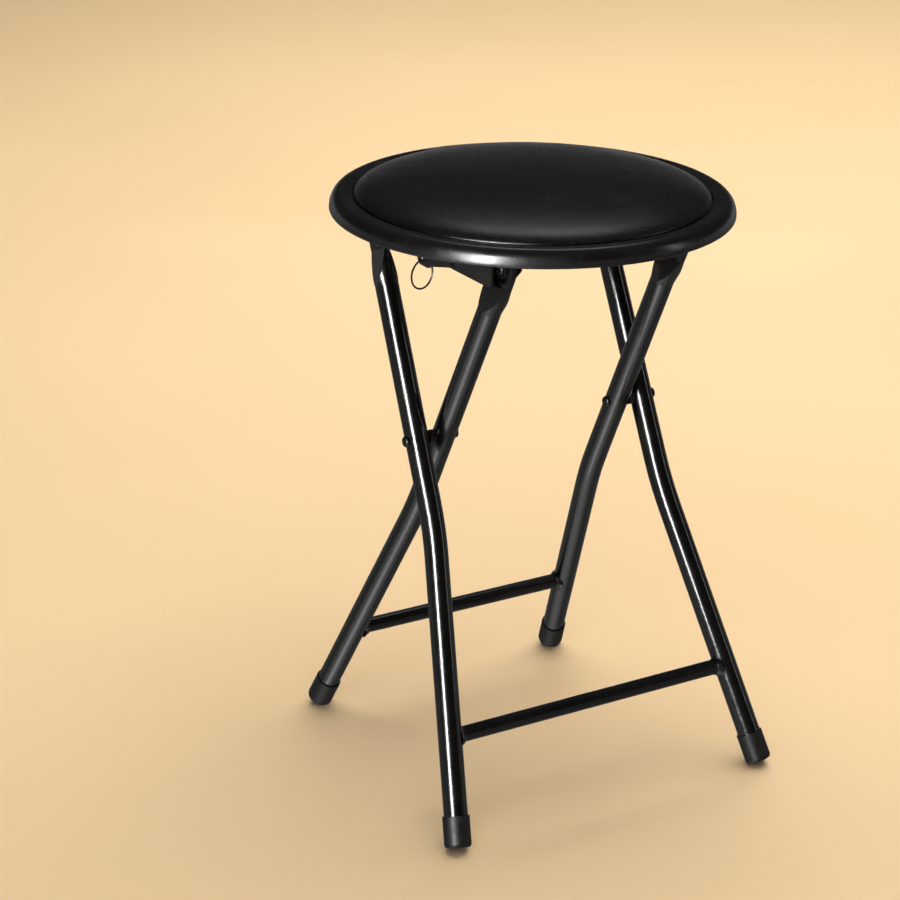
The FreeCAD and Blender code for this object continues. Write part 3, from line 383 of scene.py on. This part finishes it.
# %% Dress the solids
FINISH_OF_SLOT = {"tube": tube_coat, "weld": weld_coat, "rim": rim_enamel, "vinyl": vinyl,
                  "board": board_wood, "bracket": bracket_enamel,
                  "fastener": zinc, "cap": cap_plastic, "ring": wire}
slot_of_node = {part["node"]: part["material_slot"] for part in frame["record"]["subparts"]}
for node, solid in frame["nodes"].items():
    solid.data.materials.clear()
    solid.data.materials.append(FINISH_OF_SLOT[slot_of_node[node]])
print("dressed", len(frame["nodes"]), "solids")

# %% [markdown]
# The floor's paint is warm and quite matt, so that it throws soft light up under the stool.

# %% Paint the floor
floor_paint, nodes, links, shader, where = new_finish("floor_paint")
uneven = speckle(nodes, links, where, scale=1.5, detail=2.0)
tone = two_tones(nodes, links, uneven, (0.87, 0.615, 0.335), (0.90, 0.64, 0.355))
links.new(tone, shader.inputs["Base Color"])
shader.inputs["Roughness"].default_value = 0.75
floor.data.materials.append(floor_paint)

# %% [markdown]
# The seat pad is foam under a tight vinyl cover. It is a crowned disc: nearly flat in the
# middle, rolling over at its edge into the groove inside the rim. Half of its outline is drawn
# once and spun round the middle. It starts a little small, because the cloth simulation that
# follows blows it up as foam pushes out a tight cover.

# %% The pad's outline, spun into a closed form
cover_low, cover_high = (Vector(corner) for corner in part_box("seat_pad"))
PAD_RADIUS = (cover_high.x - cover_low.x) / 2
PAD_HEIGHT = cover_high.z - cover_low.z
SIDE_HEIGHT = 2.4 * MM
DOME_POWER = 3.4
DOME_ROUND = 1.75
START_SMALLER = 0.3 * MM
SPIN_STEPS = 160
RING_STEPS = 40
UNDERSIDE_STEPS = 8
MERGED_WITHIN = 0.05 * MM


def pad_outline():
    """Half of the outline from the middle of the underside to the crown."""
    radius = PAD_RADIUS - START_SMALLER
    rise = PAD_HEIGHT - START_SMALLER - SIDE_HEIGHT
    points = [(radius * step / UNDERSIDE_STEPS, 0.0) for step in range(UNDERSIDE_STEPS + 1)]
    for step in range(RING_STEPS + 1):
        share = math.cos(math.pi / 2 * step / RING_STEPS)
        points.append((radius * share,
                       SIDE_HEIGHT + rise * (1 - share ** DOME_POWER) ** (1 / DOME_ROUND)))
    return points


def spun(name, outline, base, closed=False):
    """Spin half of an outline round the seat's middle."""
    shape = bmesh.new()
    line = [shape.verts.new((x, 0, base + z)) for x, z in outline]
    edges = [shape.edges.new(pair) for pair in zip(line, line[1:] + line[:1] * closed)]
    bmesh.ops.spin(shape, geom=line + edges, cent=(0, 0, 0), axis=(0, 0, 1),
                   angle=2 * math.pi, steps=SPIN_STEPS, use_merge=True)
    bmesh.ops.remove_doubles(shape, verts=shape.verts, dist=MERGED_WITHIN)
    bmesh.ops.recalc_face_normals(shape, faces=shape.faces)
    mesh = bpy.data.meshes.new(name)
    shape.to_mesh(mesh)
    shape.free()
    piece = bpy.data.objects.new(name, mesh)
    bpy.context.collection.objects.link(piece)
    return piece


cushion = spun("seat_cushion", pad_outline(), cover_low.z)
print("pad starts", round(PAD_RADIUS * 2, 4), "m across and", round(PAD_HEIGHT, 4), "m high")

# %% [markdown]
# The simulation needs even faces, so it runs on a copy that has had a voxel remesh. Points of the
# underside and the side are held, since the board and the rim hold them, and gravity is off.
# After twenty frames each point may have moved by a few millimetres at most, which keeps the pad
# within its place. The cover is stiff in bending, as foam-backed vinyl is, so it domes without a
# wrinkle. The smooth spun form then takes over how far the copy moved, point by point.

# %% Swell the pad
VOXEL = 4.0 * MM
PRESSURE = 4.0
STIFFNESS = 40
SOLVER_QUALITY = 6
ROUNDS_BEFORE = 4
SWELL_CAP = 2.5 * MM
SWELL_FRAMES = 20
HELD_HEIGHT = 3.5 * MM
SHARED_WITHIN = 16.0 * MM
SHORTEST = 0.01 * MM


def remesh(piece, voxel):
    """Give a closed mesh even faces."""
    piece.data.remesh_voxel_size = voxel
    piece.data.remesh_voxel_adaptivity = 0.0
    bpy.ops.object.select_all(action="DESELECT")
    piece.select_set(True)
    bpy.context.view_layer.objects.active = piece
    bpy.ops.object.voxel_remesh()


def swell(piece, held_below):
    """Blow a closed mesh up as cloth: where its points start, and how each of them moves."""
    held = piece.vertex_groups.new(name="held")
    held.add([v.index for v in piece.data.vertices if v.co.z < held_below], 1.0, "REPLACE")
    start = [v.co.copy() for v in piece.data.vertices]
    cloth = piece.modifiers.new("swell", "CLOTH")
    cloth.settings.quality = SOLVER_QUALITY
    cloth.settings.vertex_group_mass = "held"
    cloth.settings.use_pressure = True
    cloth.settings.uniform_pressure_force = PRESSURE
    cloth.settings.tension_stiffness = STIFFNESS
    cloth.settings.compression_stiffness = STIFFNESS
    cloth.settings.bending_stiffness = STIFFNESS
    cloth.settings.effector_weights.gravity = 0.0
    for step in range(1, SWELL_FRAMES + 1):
        bpy.context.scene.frame_set(step)
    swollen = piece.evaluated_get(bpy.context.evaluated_depsgraph_get()).data
    moved = [v.co.copy() for v in swollen.vertices]
    piece.modifiers.remove(cloth)
    bpy.context.scene.frame_set(1)
    shifts = [after - before for before, after in zip(start, moved)]
    return start, [shift * min(1.0, SWELL_CAP / max(shift.length, SHORTEST)) for shift in shifts]


def follow(piece, start, shifts, held_below):
    """Move the free points of a piece as the nearby points of its copy moved."""
    near = kdtree.KDTree(len(start))
    for number, place in enumerate(start):
        near.insert(place, number)
    near.balance()
    for vertex in piece.data.vertices:
        if vertex.co.z < held_below:
            continue
        total, weights = Vector(), 0.0
        for _, number, distance in near.find_range(vertex.co, SHARED_WITHIN):
            weight = (1 - (distance / SHARED_WITHIN) ** 2) ** 2
            total += shifts[number] * weight
            weights += weight
        vertex.co += total / weights


def smoothed(piece, rounds, above=0.0):
    """Even out the points above a height, and shade the whole piece smooth."""
    shape = bmesh.new()
    shape.from_mesh(piece.data)
    free = [corner for corner in shape.verts if corner.co.z > above]
    for _ in range(rounds):
        bmesh.ops.smooth_vert(shape, verts=free, factor=0.5, use_axis_x=True,
                              use_axis_y=True, use_axis_z=True)
    for face in shape.faces:
        face.smooth = True
    shape.to_mesh(piece.data)
    shape.free()


held_below = cover_low.z + HELD_HEIGHT
copy = bpy.data.objects.new("copy", cushion.data.copy())
bpy.context.collection.objects.link(copy)
remesh(copy, VOXEL)
smoothed(copy, ROUNDS_BEFORE, held_below)
start, shifts = swell(copy, held_below)
follow(cushion, start, shifts, held_below)
bpy.data.objects.remove(copy)
print("the pad swelled by up to", round(max(s.length for s in shifts) / MM, 2), "mm")
smoothed(cushion, rounds=0)
finer = cushion.modifiers.new("finer", "SUBSURF")
finer.levels = 1
finer.render_levels = 1
cushion.data.materials.append(vinyl)
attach(cushion, "seat")
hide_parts("seat_pad")

# %% [markdown]
# The rim is one pressed ring, round in section, where the solid has a few flat bands. It is spun
# from the same three quarter ovals, with more steps, and its wall runs inside them.

# %% The rim's section, spun
rim_low, rim_high = (Vector(corner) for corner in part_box("seat_rim"))
RIM_RADIUS = (rim_high.x - rim_low.x) / 2
RIM_WIDTH = 17.6 * MM
RIM_CROWN = 2.1 * MM
RIM_WIDEST = 9.4 * MM
RIM_LIP_IN = 2.6 * MM
RIM_LIP_DROP = 11.3 * MM
RIM_RETURN = 9.0 * MM
RIM_WALL = 1.4 * MM
RIM_STEPS = 9
RIM_FULL = 0.92


def rim_outline(inset):
    """Half of the section from the groove over the crown and round to the lip."""
    inner = RIM_RADIUS - RIM_WIDTH
    middle = RIM_RADIUS - RIM_WIDTH / 2
    points = []
    for step in range(RIM_STEPS):
        turn = math.pi / 2 * step / RIM_STEPS
        points.append((middle - (middle - inner) * math.cos(turn),
                       RIM_CROWN * math.sin(turn) - inset))
    for step in range(RIM_STEPS):
        turn = math.pi / 2 * step / RIM_STEPS
        points.append((middle + (RIM_RADIUS - inset - middle) * math.sin(turn) ** RIM_FULL,
                       (RIM_CROWN - inset + RIM_WIDEST) * math.cos(turn) ** RIM_FULL
                       - RIM_WIDEST))
    for step in range(RIM_STEPS + 1):
        turn = math.pi / 2 * step / RIM_STEPS
        points.append((RIM_RADIUS - RIM_LIP_IN - inset + RIM_LIP_IN * math.cos(turn),
                       -RIM_WIDEST - (RIM_LIP_DROP - inset - RIM_WIDEST) * math.sin(turn)))
    return points


SHARP_TURN = math.radians(38)


def shade(shape):
    """Shade a mesh smooth, but for its sharp edges."""
    for face in shape.faces:
        face.smooth = True
    for edge in shape.edges:
        edge.smooth = len(edge.link_faces) != 2 or edge.calc_face_angle() < SHARP_TURN


def stands_for(piece, node, body, finish):
    """Give a piece its finish and let it stand for a solid."""
    piece.data.materials.append(finish)
    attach(piece, body)
    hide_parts(node)


back_of_lip = RIM_RADIUS - RIM_LIP_IN - RIM_RETURN
rim = spun("rim_ring", rim_outline(0.0) + [(back_of_lip, -RIM_LIP_DROP),
                                           (back_of_lip, RIM_WALL - RIM_LIP_DROP)]
           + rim_outline(RIM_WALL)[::-1], rim_high.z - RIM_CROWN, closed=True)
rim_shape = bmesh.new()
rim_shape.from_mesh(rim.data)
shade(rim_shape)
rim_shape.to_mesh(rim.data)
rim_shape.free()
stands_for(rim, "seat_rim", "seat", rim_enamel)
print("the rim has", len(rim.data.polygons), "faces")

# %% [markdown]
# Sheet parts have edges eased by the press and the paint, which catch a thin light. Rivets have
# domed heads. Both start from a copy of the solid's own mesh, with its flat faces merged, whose
# sharp edges are then bevelled. The inner flange of each bracket is cut back to an ear round the
# hinge rivet, because the real one doesn't show beside the leg.

# %% Eased sheet parts and domed rivets
FLAT_WITHIN = math.radians(1.0)
MESH_MERGE = 0.002 * MM
SHEET_EASE = 0.35 * MM
SHEET_SEGMENTS = 2
HEAD_ROUND = 1.6 * MM
HEAD_SEGMENTS = 5
END_WITHIN = 0.05 * MM
HINGE_AT = Vector(next(joint["pos_m"] for joint in frame["record"]["behaviour"]["joints"]
                       if joint["name"] == "seat_hinge"))
EAR = 11.0 * MM
INNER_FLANGE_END = 69.2 * MM


def merged_copy(node):
    """A copy of a solid's mesh whose flat faces are whole again."""
    shape = bmesh.new()
    shape.from_mesh(frame["nodes"][node].data)
    bmesh.ops.remove_doubles(shape, verts=shape.verts, dist=MESH_MERGE)
    bmesh.ops.dissolve_limit(shape, angle_limit=FLAT_WITHIN, verts=shape.verts, edges=shape.edges)
    return shape


def bevelled(shape, edges, radius, segments):
    """Round some edges over."""
    bmesh.ops.bevel(shape, geom=edges, offset=radius, offset_type="OFFSET", affect="EDGES",
                    segments=segments, profile=0.5, material=-1, clamp_overlap=True)


def stored(shape, name, node, body, finish):
    """Make a finished piece of a mesh."""
    shade(shape)
    mesh = bpy.data.meshes.new(name)
    shape.to_mesh(mesh)
    shape.free()
    piece = bpy.data.objects.new(name, mesh)
    bpy.context.collection.objects.link(piece)
    stands_for(piece, node, body, finish)
    print(name, "has", len(mesh.polygons), "faces")


def cut_back(shape, at, outward):
    """Cut the inner flange off on one side of a plane."""
    flange = [face for face in shape.faces
              if all(abs(corner.co.x) < INNER_FLANGE_END for corner in face.verts)
              and any((corner.co - at).dot(outward) > 0 for corner in face.verts)]
    edges = list({edge for face in flange for edge in face.edges})
    verts = list({corner for face in flange for corner in face.verts})
    bmesh.ops.bisect_plane(shape, geom=flange + edges + verts, plane_co=at, plane_no=outward,
                           clear_outer=True)
    rim_edges = [edge for edge in shape.edges if len(edge.link_faces) == 1]
    bmesh.ops.holes_fill(shape, edges=rim_edges, sides=0)


def sharp(shape):
    """The edges where two faces meet at a sharp turn."""
    return [edge for edge in shape.edges
            if len(edge.link_faces) == 2 and edge.calc_face_angle() > SHARP_TURN]


for side in ("left", "right"):
    bracket = merged_copy(f"bracket_{side}")
    below_hinge = HINGE_AT - Vector((0, 0, EAR))
    cut_back(bracket, below_hinge, Vector((0, 0, -1)))
    cut_back(bracket, below_hinge, Vector((0, -1, -1)).normalized())
    bevelled(bracket, sharp(bracket), SHEET_EASE, SHEET_SEGMENTS)
    stored(bracket, f"sheet_bracket_{side}", f"bracket_{side}", "seat", bracket_enamel)
lever = merged_copy("latch_lever")
bevelled(lever, sharp(lever), SHEET_EASE, SHEET_SEGMENTS)
stored(lever, "sheet_lever", "latch_lever", "latch", bracket_enamel)


def domed(name, node, body):
    """Round the ends of pins that lie along X."""
    shape = merged_copy(node)
    reach = [abs(corner.co.x) for corner in shape.verts]
    for end in (min(reach), max(reach)):
        edges = [edge for edge in sharp(shape)
                 if all(abs(abs(corner.co.x) - end) < END_WITHIN for corner in edge.verts)]
        bevelled(shape, edges, HEAD_ROUND, HEAD_SEGMENTS)
    stored(shape, name, node, body, zinc)


domed("domed_scissor_rivets", "scissor_rivets", "outer_frame")
domed("domed_hinge_rivets", "hinge_rivets", "seat")
domed("domed_seat_studs", "seat_studs", "outer_frame")
domed("domed_lever_rivet", "lever_rivet", "seat")

# %% [markdown]
# Weld beads are puddles of metal that froze as the torch went round, so they are lumpy and
# rounded. A copy of each plain bead is merged, remeshed fine, and pushed about by noise.

# %% Lumpy weld beads
BEAD_MERGE = 0.01 * MM
BEAD_VOXEL = 0.6 * MM
BEAD_ROUNDS = 6
LUMP = 0.35 * MM
LUMPS_PER_METRE = 420.0


def lumpy_beads(name, node, body):
    """Weld beads with a lumpy skin."""
    shape = bmesh.new()
    shape.from_mesh(frame["nodes"][node].data)
    bmesh.ops.remove_doubles(shape, verts=shape.verts, dist=BEAD_MERGE)
    mesh = bpy.data.meshes.new(name)
    shape.to_mesh(mesh)
    shape.free()
    piece = bpy.data.objects.new(name, mesh)
    bpy.context.collection.objects.link(piece)
    remesh(piece, BEAD_VOXEL)
    smoothed(piece, BEAD_ROUNDS)
    for vertex in piece.data.vertices:
        push = noise.noise(vertex.co * LUMPS_PER_METRE)
        vertex.co += vertex.normal * push * LUMP
    stands_for(piece, node, body, weld_coat)
    return piece


for bar, body in (("outer", "outer_frame"), ("inner", "inner_frame")):
    beads = lumpy_beads(f"{bar}_weld_beads", f"{bar}_stretcher_welds", body)
    print(beads.name, "has", len(beads.data.polygons), "faces")
